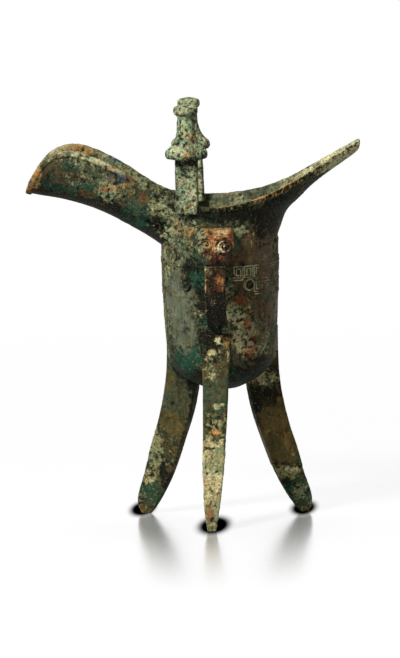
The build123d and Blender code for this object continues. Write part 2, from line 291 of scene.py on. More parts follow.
def blend(tree, amount, under, over):
    return put(tree, "ShaderNodeMix", {0: amount, 2: under, 3: over}).outputs[0]


def blendTone(tree, amount, under, over, mode="MIX"):
    mix = put(tree, "ShaderNodeMix", {0: amount, 6: under, 7: over}, data_type="RGBA", blend_type=mode)
    return mix.outputs[2]


def remap(tree, value, read, give=(0, 1), kind="LINEAR"):
    # what is read between these two levels is given between those two
    return put(tree, "ShaderNodeMapRange", {
        "Value": value, "From Min": read[0], "From Max": read[1], "To Min": give[0], "To Max": give[1],
    }, interpolation_type=kind).outputs[0]


def noiseAt(tree, place, size, detail, rough):
    # noise whose lumps are this many mm across
    return put(tree, "ShaderNodeTexNoise", {
        "Vector": place, "Scale": 1 / (size * mm), "Detail": detail, "Roughness": rough,
    }).outputs[0]


def startGroup(name, inputs, outputs):
    tree = bpy.data.node_groups.new(name, "ShaderNodeTree")
    for key, kind in inputs.items():
        tree.interface.new_socket(key, in_out="INPUT", socket_type="NodeSocket" + kind)
    for key, kind in outputs.items():
        tree.interface.new_socket(key, in_out="OUTPUT", socket_type="NodeSocket" + kind)
    return tree, tree.nodes.new("NodeGroupInput"), tree.nodes.new("NodeGroupOutput")


speckleSet = {
    "detail": 7.0,
    "rough": 0.82,
    "edge": (0.3, 0.8),  # the levels that are bare and covered
}


def makeSpeckle(set):
    # breaks a soft mask up into grains: half a mask gives about half cover
    tree, given, result = startGroup(
        "speckle",
        {"Vector": "Vector", "Mask": "Float", "Grain": "Float", "Scatter": "Float"},
        {"Mask": "Float"},
    )
    scale = calc(tree, "DIVIDE", 1 / mm, given.outputs["Grain"])
    speck = put(tree, "ShaderNodeTexNoise", {
        "Vector": given.outputs["Vector"], "Scale": scale, "Detail": set["detail"], "Roughness": set["rough"],
    }).outputs[0]
    lifted = calc(tree, "SUBTRACT", speck, 0.5)
    level = calc(tree, "MULTIPLY_ADD", lifted, given.outputs["Scatter"], given.outputs["Mask"])
    tree.links.new(remap(tree, level, set["edge"], kind="SMOOTHSTEP"), result.inputs["Mask"])
    return tree


speckle = makeSpeckle(speckleSet)

layers = {  # each layer of corrosion, or of dirt and painted shade: grain in mm, scatter, cover, and how rough, high and metallic it is
    "Brown": {"grain": 5.0, "scatter": 1.0, "cover": 0.9, "rough": 0.36, "height": -0.1, "metal": 0.22},
    "Grey": {"grain": 3.0, "scatter": 1.0, "cover": 0.85, "rough": 0.42, "height": 0.0},
    # the near-black layer: dirt, and also painted shade under the lip, brims, strap, spout and bowl
    "Soot_and_shade": {"grain": 2.4, "scatter": 1.8, "cover": 0.95, "rough": 0.6, "height": -0.2},
    "Teal": {"grain": 1.3, "scatter": 3.4, "cover": 0.8, "rough": 0.8, "height": 0.1},
    "Crust": {"grain": 1.4, "scatter": 4.2, "cover": 0.88, "rough": 0.9, "height": 0.5},
    "Earth": {"grain": 1.2, "scatter": 3.4, "cover": 0.85, "rough": 0.92, "height": 0.3},
    "Rust": {"grain": 1.1, "scatter": 3.4, "cover": 0.85, "rough": 0.8, "height": 0.15},
    "Azurite": {"grain": 1.1, "scatter": 3.0, "cover": 0.85, "rough": 0.8, "height": 0.2},
    "Pale": {"grain": 1.0, "scatter": 4.0, "cover": 0.9, "rough": 0.92, "height": 0.4},
}
patinaSet = {
    "bareRough": 0.62,
    # each noise: size in mm, detail and roughness, then the levels read and what they give
    "ground": ((2.6, 6.0, 0.7), (0.38, 0.62), (0, 1)),  # from the deep tone to the ground's
    "fine": ((1.1, 7.0, 0.78), (0.34, 0.66), (0.2, 1.8)),  # light and dark on rough crust
    "streak": ((1.7, 5.0, 0.7), (0.34, 0.66), (0.6, 1.4)),  # fainter on smooth skin
    "cloud": ((5.5, 5.0, 0.7), (0.36, 0.64), (0.7, 1.3)),  # wider on smooth skin
    "drift": ((4.0, 5.0, 0.65), (0.36, 0.64), (0, 1)),  # from the cool tint to the warm one
    "stretch": (1, 1, 0.16),  # draws the streaks out upright
    "smooth": (0.4, 0.8),  # the roughness of smooth skin and of crust
    "cool": (0.84, 1.0, 0.98, 1),
    "warm": (1.18, 1.0, 0.82, 1),
    "pits": ((0.35, 0.9), (1.0, 0.15)),  # how dark hollows are
    "fineHeight": 0.8,
}


def makePatina(set):
    # layers of corrosion, dirt and painted shade over old bronze, each where its mask says
    inputs = {"Vector": "Vector", "Ground": "Color", "Deep": "Color"}
    for key in layers:
        inputs[key] = "Float"
        inputs[key + " Tone"] = "Color"
    inputs["Hollow"] = "Float"
    tree, given, result = startGroup(
        "patina", inputs, {"Color": "Color", "Roughness": "Float", "Metallic": "Float", "Height": "Float"}
    )
    place = given.outputs["Vector"]
    upright = vectorCalc(tree, "MULTIPLY", place, set["stretch"])
    level = {key: noiseAt(tree, place, *set[key][0]) for key in ("ground", "fine", "cloud", "drift")}
    level["streak"] = noiseAt(tree, upright, *set["streak"][0])
    shade = {key: remap(tree, value, *set[key][1:]) for key, value in level.items()}
    colour = blendTone(tree, shade["ground"], given.outputs["Deep"], given.outputs["Ground"])
    rough, metal, height = set["bareRough"], 0, 0
    for key, layer in layers.items():
        grains = put(tree, "ShaderNodeGroup", {}, node_tree=speckle)
        tree.links.new(place, grains.inputs["Vector"])
        tree.links.new(given.outputs[key], grains.inputs["Mask"])
        grains.inputs["Grain"].default_value = layer["grain"]
        grains.inputs["Scatter"].default_value = layer["scatter"]
        mask = calc(tree, "MULTIPLY", grains.outputs["Mask"], layer["cover"])
        colour = blendTone(tree, mask, colour, given.outputs[key + " Tone"])
        rough = blend(tree, mask, rough, layer["rough"])
        metal = blend(tree, mask, metal, layer.get("metal", 0))
        height = calc(tree, "MULTIPLY_ADD", mask, layer["height"], height)
    # light and dark grain, strong on rough crust and faint and streaky on smooth skin
    coarse = remap(tree, rough, set["smooth"])
    calm = calc(tree, "MULTIPLY", shade["streak"], shade["cloud"])
    light = blend(tree, coarse, calm, shade["fine"])
    tint = blendTone(tree, shade["drift"], set["cool"], set["warm"])
    pit = remap(tree, given.outputs["Hollow"], *set["pits"])
    for factor in (light, tint, pit):
        colour = blendTone(tree, 1.0, colour, factor, "MULTIPLY")
    height = calc(tree, "MULTIPLY_ADD", level["fine"], set["fineHeight"], height)
    for key, value in (("Color", colour), ("Roughness", rough), ("Metallic", metal), ("Height", height)):
        tree.links.new(value, result.inputs[key])
    return tree


patina = makePatina(patinaSet)
shine = 0.04  # corroded bronze hardly shines


def tone(red, green, blue):
    # a colour as a painting program gives it, 0 to 255
    parts = [part / 255 for part in (red, green, blue)]
    return [part / 12.92 if part < 0.04045 else ((part + 0.055) / 1.055) ** 2.4 for part in parts] + [1]


def makeBronze(name, tones, bump):
    material = bpy.data.materials.new(name)
    material.use_nodes = True
    tree = material.node_tree
    shader = tree.nodes["Principled BSDF"]
    place = tree.nodes.new("ShaderNodeTexCoord").outputs["Object"]
    skin = put(tree, "ShaderNodeGroup", {}, node_tree=patina)
    tree.links.new(place, skin.inputs["Vector"])
    for key in [*layers, "Hollow"]:
        mask = put(tree, "ShaderNodeAttribute", {}, attribute_name=key.lower())
        tree.links.new(mask.outputs["Fac"], skin.inputs[key])
    for key, value in tones.items():
        skin.inputs[key].default_value = tone(*value)
    shader.inputs["Specular IOR Level"].default_value = shine
    relief = put(tree, "ShaderNodeBump", {
        "Strength": 1.0, "Distance": bump * mm, "Height": skin.outputs["Height"],
    })
    for key, value in (("Base Color", "Color"), ("Roughness", "Roughness"), ("Metallic", "Metallic")):
        tree.links.new(skin.outputs[value], shader.inputs[key])
    tree.links.new(relief.outputs[0], shader.inputs["Normal"])
    return material


vesselTones = {
    "Ground": (92, 92, 66),
    "Deep": (34, 40, 32),
    "Brown Tone": (86, 70, 50),
    "Grey Tone": (110, 117, 98),
    # near-black, for dirt and for painted shade
    "Soot_and_shade Tone": (21, 24, 21),
    "Teal Tone": (42, 86, 70),
    "Crust Tone": (166, 172, 134),
    "Earth Tone": (204, 162, 104),
    "Rust Tone": (166, 80, 42),
    "Azurite Tone": (56, 86, 112),
    "Pale Tone": (214, 212, 170),
}
vesselBronze = makeBronze("vesselBronze", vesselTones, 0.3)
legBronze = makeBronze("legBronze", {
    **vesselTones, "Ground": (84, 86, 58), "Deep": (44, 47, 34), "Brown Tone": (92, 78, 45),
    "Grey Tone": (74, 80, 60), "Crust Tone": (154, 154, 114), "Pale Tone": (222, 212, 164),
}, 0.25)
postBronze = makeBronze("postBronze", {
    **vesselTones, "Ground": (134, 146, 116), "Deep": (70, 84, 66), "Crust Tone": (188, 206, 166),
    "Pale Tone": (226, 224, 184), "Earth Tone": (206, 168, 112),
}, 0.3)
handleBronze = makeBronze("handleBronze", {
    **vesselTones, "Ground": (80, 60, 42), "Deep": (32, 28, 25), "Brown Tone": (80, 48, 36),
    "Earth Tone": (200, 150, 92), "Pale Tone": (230, 216, 176),
}, 0.2)
print("finishes made")


# Vessel: cup, spout and tail are melted into one skin, worked, and cut apart again at their seams

vessel = {  # lengths in mm
    "voxel": 0.45,
    "push": 0.4,  # how far the castings' ends run into each other before they are melted
    "swell": 0.14,  # hand-made unevenness
    "swellSize": 16,
    "grit": 0.06,
    "gritSize": 0.9,
    "crustRise": 0.3,
    "crustSize": 1.9,
    "crustShares": (0.4, 1.4),  # of its rise: its level and its swing
    "rootLumps": ((-26, -19, 150), (9, 8, 11)),  # middle and half sizes
    "lumpRise": 1.5,
    "lumpSize": 4.2,
    "shoulder": 0.6,  # how far the flare's foot is filled out
    "shoulderHeight": 139.5,
    "shoulderTall": 3,
    "shoulderSpan": (8, 22),  # along the vessel, from none of it to all, as all spans are
    "lipHeight": 3.0,
    "lipSwell": 0.2,
    "lipSpan": (-8, 2),
    "lipSpoutSpan": (-34, -54),
    "innerSpoutSpan": (-54, -62),
    "mouthSpans": ((-20, -4), (58, 40)),
    "notchPitch": 1.75,
    "notchWander": 0.5,  # in pitches
    "notchDepth": 0.55,
    "notchDrop": 1.5,  # under the rim
    "notchTall": (1.3, 0.4),  # from there, where a notch has ended and where it is full
    "notchSpans": ((-6, 0), (52, 30)),
    "tipRound": 1.5,  # how far the tail's end is rounded off
    "bandTop": 127.2,
    "bandBase": 111.0,
    "bandRadius": 28.3,
    "bandWall": 1.2,  # what lies this far inside the band's radius is the inner wall
    "bandStart": 8.4,  # along the band from the handle, as all places across it are
    "bandRise": 0.28,
    "fineRadius": 27,  # outside it the band gets finer faces
    "fineMargins": (1, 3),  # and so does this much below and above it
    "cellWidth": 5.4,
    "cellGap": 0.9,
    "linePitch": 1.15,
    "lineEdge": (0.4, 0.18),  # from a line's middle, where it has ended and where it is full
    "upperRow": (2.4, 0.8),  # from the eyes' middle to its foot, and from its top to the band's
    "lowerRow": (1.6, 5.8),  # from the band's base to its foot, and its height
    "eyes": (16.05, 80.2),
    "eyeHeight": 117.4,
    "eyeRoom": 5.2,
    "eyeRing": 2.6,
    "ringEdge": (0.7, 0.25),  # from the ring's line, where it has ended and where it is full
    "holeEdge": (0.3, 0.9),  # inside that line, where the hole starts and where it is full
    "ringRoom": 0.8,  # outside it, kept free of the band's lines
    "eyeSink": 1.6,  # how deep the eye lies inside its ring, in rises of the band
    "wornFrom": 19.0,  # where the near side's lines have worn away
    "wornTo": 42.0,
    "wornLeft": (12, 24),  # the same on the left, from whole to worn
    "wornShare": 0.8,
}
vesselSpots = {
    "brown": [((20, -22, 125), (11, 14, 25), 1.0), ((14, -25, 134), (9, 8, 8), 0.5),
        ((-79, -16, 172), (8, 6, 6), 0.6), ((-62, -12, 160), (14, 10, 3), 0.4),
        ((25, 0, 92), (12, 20, 18), 0.6)],
    "grey": [((-20, -22, 106), (9, 12, 24), 1.1), ((-19, -20, 146), (6, 8, 8), 0.4)],
    # soot spots: dirt, and painted shade under the lip's flare and the spout, right of the flare, beside and
    # behind the strap and under the bowl
    "soot_and_shade": [((-2, -29, 151.5), (16, 6, 3.6), 0.9), ((14, -26, 152.5), (16, 8, 4.5), 0.9),
        ((34, -16, 152), (16, 14, 12), 1.1), ((21, -20, 143), (2.4, 8, 8), 0.7),
        ((17, -12, 74), (14, 14, 7), 1.0), ((13, -25, 119), (6, 6, 8), 0.4),
        ((-14, -24, 120), (6, 6, 8), 0.3), ((-7.3, -28, 116), (2.4, 6, 20), 0.8),
        ((-12, -26, 118), (5, 6, 12), 0.35), ((-19, -19, 76), (12, 12, 8), 0.8),
        ((-18, -20, 92), (10, 12, 10), 0.3), ((8, -27, 99), (2.5, 5, 2.5), 0.6),
        ((-84, -14, 168), (9, 8, 9), 0.35), ((-2, -28, 95), (7, 5, 6), 0.9),
        ((-7, -26, 86), (3, 6, 9), 0.6), ((-28, -17, 147), (6, 8, 4), 0.5),
        ((-60, -6, 154), (40, 9, 4), 0.8), ((-34, -10, 146), (14, 9, 7), 0.8),
        ((0, 0, 66), (40, 40, 3), 0.7)],
    "teal": [((-18, -20, 80), (11, 12, 7), 0.7), ((-68, -17, 172), (12, 5, 7), 0.3),
        ((-62, -17, 165.5), (5, 5, 2), 0.7), ((-78, -14, 167), (9, 6, 5), 0.2),
        ((-58, -16, 160), (20, 6, 6), 0.45), ((-38, -14, 150), (8, 7, 6), 0.5),
        ((-53, 14, 174), (5, 5, 4), 0.3), ((-8.5, -28, 138), (2.4, 6, 6), 0.6),
        ((-10, -28, 120), (4, 6, 14), 0.2)],
    "crust": [((-20, -21, 142), (10, 12, 12), 0.25), ((-24, -19, 134), (5, 12, 12), 0.25),
        ((-27, -18, 152), (8, 10, 8), 0.25), ((-20, -22, 104), (9, 12, 20), -0.6),
        ((-66, -17, 172), (16, 6, 8), 0.2), ((-44, -18, 169), (16, 6, 7), 0.1),
        ((9, -27, 104), (6, 6, 5), 0.7), ((12, -25, 93), (8, 8, 12), 0.6),
        ((21, -22, 126), (10, 12, 25), -0.6), ((12, -26, 142), (6, 6, 5), 0.5),
        ((16, -26, 152), (22, 22, 5), -0.6), ((36, -14, 152), (18, 18, 14), -1.0),
        ((-79, -15, 172), (10, 8, 10), -0.4), ((-60, -5, 153), (36, 10, 6), -0.6),
        ((16, 26, 162), (44, 10, 10), -0.2), ((16, -14, 74), (14, 14, 8), -0.6)],
    "earth": [((-88, -15, 172), (3.2, 8, 9), 1.0), ((-92, -10, 164), (2.2, 12, 4), 0.7),
        ((-74, 15, 181), (16, 5, 5), 0.7), ((-16, -24.5, 143.8), (5, 8, 3), 0.75),
        ((-30, -17, 150), (5, 8, 6), 0.3), ((36, -20, 163), (26, 7, 4), 0.35),
        ((14, -25, 142), (5, 5, 4), 0.4), ((-49, -17, 164.5), (5, 5, 3), 0.6),
        ((-50, -17, 169), (12, 5, 6), 0.35), ((12, -24, 95), (7, 6, 9), 0.75),
        ((12, -25, 104), (5, 6, 4), 0.3), ((-14, -23, 87), (2.2, 4, 1.8), 0.7)],
    "rust": [((-35.5, -16.4, 159.6), (2.6, 5, 4), 0.65), ((-65.5, -17.4, 168.8), (2, 4, 1.4), 0.5),
        ((-49.5, -16.5, 163.2), (4.5, 4, 1.2), 0.6), ((-52, -13.5, 155.4), (4, 7, 1.6), 0.3),
        ((-58, -12, 157), (8, 7, 2), 0.5), ((11.3, -25.5, 109.1), (3, 5, 2.6), 0.95),
        ((21, -18, 103.6), (3, 5, 2.6), 0.45), ((12.5, -24, 98), (4, 5, 3), 0.85),
        ((15.5, -21.6, 87), (4, 5, 6), 0.9), ((10, -26, 100), (2.4, 5, 3), 0.6),
        ((23, -15, 112), (4, 8, 12), 0.3), ((13.6, -25, 137), (4, 6, 4), 0.3),
        ((4, -27, 89), (2, 5, 4), 0.7)],
    "azurite": [((-49.2, -16.5, 169.3), (4, 4, 3), 1.1), ((-52.7, 14.2, 174), (3, 4, 1.6), 0.9),
        ((-44, -16.4, 167), (3, 4, 2), 0.4)],
    "pale": [((-62, -17, 177.5), (18, 4, 1.6), 0.55), ((-42, -18, 167), (15, 6, 6), 0.25),
        ((-29, -18, 156), (6, 7, 7), 0.35), ((58, 0, 178), (20, 30, 8), 1.45),
        ((30, 20, 166), (20, 12, 8), 0.35), ((-22, -19, 136), (6, 10, 12), 0.15),
        ((9, -27, 104.5), (6, 6, 3.5), 0.5), ((12, -25, 96), (7, 6, 8), 0.3),
        ((22.3, -17.4, 130), (1.3, 3, 1), 0.9), ((16, -22, 88), (1.2, 3, 1), 0.6),
        ((11, -25, 98.5), (1.2, 3, 1.2), 0.6), ((13, -24, 93), (7, 6, 9), 0.5),
        ((24, -14, 88), (3, 5, 6), 0.4), ((-8.1, -27, 101.5), (0.8, 4, 4), 0.6),
        ((19.2, -22, 144.8), (0.6, 3, 1.2), 0.6), ((17.8, -23, 141.6), (0.4, 3, 1.6), 0.6),
        ((16.5, -23, 137), (0.5, 3, 1.6), 0.5)],
}
vesselBias = {  # level, swing and size in mm of each layer's slow change
    "brown": (0.1, 0.6, 14),
    "grey": (0.05, 0.5, 11),
    "soot_and_shade": (0.05, 0.5, 8),
    "teal": (0.25, 0.8, 10),
    "crust": (0.38, 0.62, 12),
    "earth": (0.05, 0.6, 9),
    "rust": (-0.02, 0.6, 7),
    "azurite": (-0.3, 0.5, 8),
    "pale": (0.1, 0.6, 9),
}
smoothSheds = 0.3  # how much less crust lies on smooth skin
dirtAndShadeSheds = {"teal": 0.2, "crust": 0.5, "earth": 0.5, "rust": 0.4, "pale": 0.5}  # and where the soot mask lies, as dirt and painted shade


def layerMasks(at, spots, bias, seed):
    ragged = spotRag["share"] * grain(at, spotRag["size"], 4, seed)
    masks = {
        key: level + swing * grain(at, size, 3, seed + 1 + step) + spread(at, spots.get(key, ()), ragged)
        for step, (key, (level, swing, size)) in enumerate(bias.items())
    }
    smooth = np.clip(np.maximum(masks["brown"], masks["grey"]), 0, 1)
    # the soot mask, dirt and painted shade, keeps crust off
    dirtAndShade = np.clip(masks["soot_and_shade"], 0, 1)
    for key, shed in dirtAndShadeSheds.items():
        masks[key] -= smoothSheds * smooth + shed * dirtAndShade
    return masks


pitSet = {"level": 0.3, "swing": 1.3, "bare": 0.4}  # the last is how pitted metal without crust is


def crustPits(at, size, seed, crust):
    # how much each point lies in a pit of the crust
    pitted = pitSet["bare"] + np.clip(crust, 0, 1)
    return pitSet["level"] - pitSet["swing"] * grain(at, size, 3, seed) * pitted


def spiralLines(left, base, width, height, pitch):
    # a squared spiral that winds inwards, as segments
    x0, x1, z0, z1 = left, left + width, base, base + height
    corners = [(x0, z0)]
    while x1 - x0 > pitch * 0.9 and z1 - z0 > pitch * 0.9:
        corners += [(x1, z0), (x1, z1), (x0, z1), (x0, z0 + pitch)]
        x0, x1, z0, z1 = x0 + pitch, x1 - pitch, z0 + pitch, z1 - pitch
        corners.append((x0, z0))
    return list(zip(corners, corners[1:]))


def bandLines(set):
    # two rows of squared spirals, with room left for the mask's eyes
    half = math.pi * set["bandRadius"]
    wide, pitch = set["cellWidth"] - set["cellGap"], set["linePitch"]
    upper = set["eyeHeight"] + set["upperRow"][0]
    upperTall = set["bandTop"] - upper - set["upperRow"][1]
    lower, lowerTall = set["bandBase"] + set["lowerRow"][0], set["lowerRow"][1]
    lines = []
    left = set["bandStart"]
    while left + set["cellWidth"] < half:
        lines += spiralLines(left, upper, wide, upperTall, pitch)
        if all(abs(left + set["cellWidth"] / 2 - eye) > set["eyeRoom"] for eye in set["eyes"]):
            lines += spiralLines(left, lower, wide, lowerTall, pitch)
        left += set["cellWidth"]
    return lines


def lineDistance(across, up, lines):
    best = np.full(len(across), 9.0)
    for (x0, z0), (x1, z1) in lines:
        run, rise = x1 - x0, z1 - z0
        length = run * run + rise * rise
        share = np.clip(((across - x0) * run + (up - z0) * rise) / length, 0, 1)
        best = np.minimum(best, np.hypot(across - x0 - share * run, up - z0 - share * rise))
    return best


def bandRelief(at, set):
    # how far the mask band's lines stand out and its eyes lie back, in rises of the band
    across = set["bandRadius"] * np.abs(np.arctan2(at[:, 0], -at[:, 1]))
    outside = np.hypot(at[:, 0], at[:, 1]) > set["bandRadius"] - set["bandWall"]
    margin = 1
    near = outside & (at[:, 2] > set["bandBase"] - margin) & (at[:, 2] < set["bandTop"] + margin)
    near &= across > set["bandStart"] - margin
    rise = np.zeros(len(at))
    if near.any():
        away = lineDistance(across[near], at[near, 2], bandLines(set))
        rise[near] = ease(away, *set["lineEdge"])
    fade = 4
    short = ease(across, set["wornTo"] + fade, set["wornTo"])
    worn = short * ease(across, set["wornFrom"], set["wornFrom"] + fade)
    worn = np.maximum(worn, (at[:, 0] < 0) * short * ease(across, *set["wornLeft"]))
    for eye in set["eyes"]:
        away = np.hypot(across - eye, at[:, 2] - set["eyeHeight"])
        ring = ease(np.abs(away - set["eyeRing"]), *set["ringEdge"])
        hole = ease(set["eyeRing"] - away, *set["holeEdge"])
        ringed = outside & (away < set["eyeRing"] + set["ringRoom"])
        rise = np.where(ringed, ring - set["eyeSink"] * hole, rise)
    return rise * (1 - set["wornShare"] * worn)


def rimProfile(at):
    # the height of the rim, from above, at each place along the vessel
    slots = np.floor(at[:, 0]).astype(int)
    first = slots.min()
    tops = np.full(slots.max() - first + 1, -1.0)
    np.maximum.at(tops, slots - first, at[:, 2])
    return np.interp(at[:, 0], np.arange(len(tops)) + first + 0.5, tops)


def rootLumps(at, set):
    lumps = spread(at, [(*set["rootLumps"], 1.0)], 0)
    return set["lumpRise"] * grain(at, set["lumpSize"], 3, 15) * lumps


def notches(at, out, drop, set):
    # worn notches along the lip, from the post to half way along the tail
    facing = ease(-out[:, 1] * np.sign(-at[:, 1]), 0.1, 0.5)
    beat = at[:, 0] / set["notchPitch"] + set["notchWander"] * grain(at, 6, 2, 8)
    notch = np.clip(np.cos(2 * math.pi * beat), 0, 1) ** 1.5 * facing
    notch *= ease(np.abs(drop - set["notchDrop"]), *set["notchTall"])
    for span in set["notchSpans"]:
        notch *= ease(at[:, 0], *span)
    return notch * np.clip(0.6 + 1.2 * grain(at, 5, 2, 9), 0, 1)


def roundTip(at, set):
    # rounds the tail's end off, above and below
    end = (cadBox[1][0] - bowlAxis[0]) / mm
    tip = at[at[:, 0] > end - 1, 2]
    middle, half = (tip.max() + tip.min()) / 2, (tip.max() - tip.min()) / 2
    reach = np.clip((at[:, 0] - end) / set["tipRound"] + 1, 0, 1)
    corner = np.clip((at[:, 2] - middle) / half, -1, 1)
    at[:, 2] -= set["tipRound"] * (1 - np.sqrt(1 - reach * reach)) * corner


def workVessel(shell, set):
    at = readPoints(shell.data)
    out = readVectors(shell.data, "normal")
    crust = np.clip(layerMasks(at, vesselSpots, vesselBias, 1)["crust"], 0, 1)
    drop = rimProfile(at) - at[:, 2]
    lip = ease(drop, set["lipHeight"] + 0.6, set["lipHeight"] - 0.4)
    shoulder = np.exp(-((at[:, 2] - set["shoulderHeight"]) / set["shoulderTall"]) ** 2)
    relief = set["swell"] * grain(at, set["swellSize"], 2, 6)
    level, swing = set["crustShares"]
    relief += crust * set["crustRise"] * (level + swing * grain(at, set["crustSize"], 3, 7))
    relief += set["grit"] * grain(at, set["gritSize"], 2, 10)
    relief += rootLumps(at, set)
    relief += set["shoulder"] * shoulder * ease(at[:, 0], *set["shoulderSpan"])
    relief += lip * set["lipSwell"] * grain(at, 3.0, 2, 11)
    relief -= set["notchDepth"] * notches(at, out, drop, set)
    relief += set["bandRise"] * bandRelief(at, set)
    at += out * relief[:, None]
    roundTip(at, set)
    writePoints(shell.data, at)


vesselRules = {  # what each kind of place adds to the layers
    "groove": {"hollow": 0.5},
    "line": {"pale": 0.3},
    "lineRight": {"pale": 1.8},
    "lineLeft": {"soot_and_shade": 0.6},
    "under": {"soot_and_shade": 0.9, "crust": -0.8, "pale": -0.8},  # painted shade: undersides below the lip get soot and lose crust
    "lip": {"earth": 0.75, "pale": 0.25, "soot_and_shade": -1},  # rubbed to old gold
    "lipEarth": {"earth": 0.6},
    "lipPale": {"pale": 0.6},
    "lipPits": {"hollow": 3.0},
    "notch": {"hollow": 0.9, "soot_and_shade": 1.2, "earth": -0.8, "pale": -0.8},
    "lump": {"hollow": -1.6},
    "lipSpout": {"soot_and_shade": -1, "crust": 0.6, "pale": 0.45},
    "inner": {"teal": -0.25, "crust": 0.35, "pale": 0.1},  # the far inner walls are paler: crust, partly painted light where the near wall shades them
    "innerSpout": {"crust": -0.3, "pale": 0.25, "earth": 0.25},  # and tan along the spout
    "mouth": {"grey": 0.6, "teal": 0.1, "soot_and_shade": -0.4},
}


def vesselPlaces(at, out, set):
    # how much each point belongs to each kind of place
    x, y = at[:, 0], at[:, 1]
    drop, lipHeight = rimProfile(at) - at[:, 2], set["lipHeight"]
    band = bandRelief(at, set)
    line = np.clip(band, 0, 1) * ease(y, 0, -4) * np.clip(1.1 + 1.3 * grain(at, 3, 2, 16), 0.6, 1)
    lip = ease(drop, lipHeight + 0.4, lipHeight - 0.6) * ease(x, *set["lipSpan"]) * ease(y, 6, -6)
    inner = ease(-out[:, 1] * np.sign(y), 0.15, 0.5) * ease(y, 4, 8)
    return {
        "groove": np.clip(-band, 0, 1),
        "line": line,
        "lineRight": line * ease(x, 6, 8),
        "lineLeft": line * ease(x, 0, -6),
        # downward faces below the lip, for painted shade
        "under": ease(-out[:, 2], 0.4, 0.8) * ease(drop, lipHeight + 1, lipHeight + 4),
        "lip": lip,
        "lipEarth": lip * grain(at, 2.5, 3, 12),
        "lipPale": lip * grain(at, 2.0, 3, 14),
        "lipPits": lip * np.clip(grain(at, 1.5, 3, 13), 0, 1) * ease(drop, 0.3, 0.9),
        "notch": notches(at, out, drop, set),
        "lump": rootLumps(at, set),
        "lipSpout": ease(drop, lipHeight + 0.2, lipHeight - 1) * ease(x, *set["lipSpoutSpan"]) * (y < 0),
        "inner": inner,
        "innerSpout": inner * ease(x, *set["innerSpoutSpan"]),
        "mouth": inner * ease(x, *set["mouthSpans"][0]) * ease(x, *set["mouthSpans"][1]),
    }


def vesselPaint(mesh, set):
    at, out = readPoints(mesh), readVectors(mesh, "normal")
    masks = layerMasks(at, vesselSpots, vesselBias, 1)
    masks["hollow"] = crustPits(at, set["crustSize"], 7, masks["crust"])
    for place, cover in vesselPlaces(at, out, set).items():
        for key, strength in vesselRules[place].items():
            masks[key] += strength * cover
    return masks


def makeVessel(set):
    push = set["push"]
    shell = recast("vessel", [
        copyOf("cup"),
        copyOf("spout", pushes=((0, push), (2, -push))),
        copyOf("tail", pushes=((0, -push), (2, -push))),
        copyOf("floor_spacers", grow=push),
        copyOf("spout_spacers", grow=push),
    ], set["voxel"])
    at = readPoints(shell.data)
    below, above = set["fineMargins"]
    inBand = (at[:, 2] > set["bandBase"] - below) & (at[:, 2] < set["bandTop"] + above)
    refine(shell, inBand & (np.hypot(at[:, 0], at[:, 1]) > set["fineRadius"]))
    workVessel(shell, set)
    print("vessel worked,", len(shell.data.vertices), "points")
    spoutFoot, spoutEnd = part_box("spout")
    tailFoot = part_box("tail")[0]
    far = 300
    spoutBox = (-far, -far, spoutFoot.z / mm), ((spoutEnd.x - bowlAxis[0]) / mm, far, far)
    tailBox = ((tailFoot.x - bowlAxis[0]) / mm, -far, tailFoot.z / mm), (far, far, far)
    for name, cuts, nodes in (
        ("cupCasting", ((spoutBox, "DIFFERENCE"), (tailBox, "DIFFERENCE")), ("cup", "floor_spacers")),
        ("spoutCasting", ((spoutBox, "INTERSECT"),), ("spout", "spout_spacers")),
        ("tailCasting", ((tailBox, "INTERSECT"),), ("tail",)),
    ):
        piece = addObject(name, shell.data.copy())
        for box, operation in cuts:
            cutPiece(piece, box, operation)
        dress(piece, vesselPaint(piece.data, set), vesselBronze, "vessel_bronze", *nodes)
    discard(shell)


makeVessel(vessel)


# Legs, posts and caps: each casting is melted by itself and roughened

lean = {  # how far old knocks have bent a casting sideways: from this height, to this one, by mm
    "post_back": (148, 204, -1.9),
    "cap_back": (148, 204, -1.9),
    "leg_left": (78, 40, -1.0),
}
casting = {  # lengths in mm
    "swell": 0.1,
    "swellSize": 10,
    "grit": 0.05,
    "gritSize": 0.9,
    "crustSize": 1.8,
    "crustShares": (0.3, 1.4),  # of the crust's rise: its level and its swing
    # painted shade: soot on faces that look down
    "underShade": 0.9,
    "seedStep": 7,  # from one leg, post or cap to the next
}


def workCasting(name, node, set, spots, seed, shape=None, forms=(), paint=None):
    piece = recast(name, [copyOf(node), *forms], set["voxel"])
    at = readPoints(piece.data)
    out = readVectors(piece.data, "normal")
    crust = np.clip(layerMasks(at, spots, set["bias"], seed)["crust"], 0, 1)
    level, swing = casting["crustShares"]
    relief = casting["swell"] * grain(at, casting["swellSize"], 2, seed + 20)
    relief += casting["grit"] * grain(at, casting["gritSize"], 2, seed + 22)
    relief += crust * set["crustRise"] * (level + swing * grain(at, casting["crustSize"], 3, seed + 21))
    if shape:
        relief += shape(at, out)
    at = at + out * relief[:, None]
    if node in lean:
        start, end, by = lean[node]
        at[:, 0] += by * np.clip((at[:, 2] - start) / (end - start), 0, 1)
    writePoints(piece.data, at)
    at = readPoints(piece.data)
    masks = layerMasks(at, spots, set["bias"], seed)
    masks["hollow"] = crustPits(at, casting["crustSize"], seed + 21, masks["crust"])
    masks["hollow"] -= np.clip(masks["crust"] - 1, 0, 1)
    # painted shade on faces that look down
    masks["soot_and_shade"] += casting["underShade"] * ease(-out[:, 2], 0.35, 0.8)
    if paint:
        paint(at, masks)
    dress(piece, masks, set["finish"], set["slot"], node)


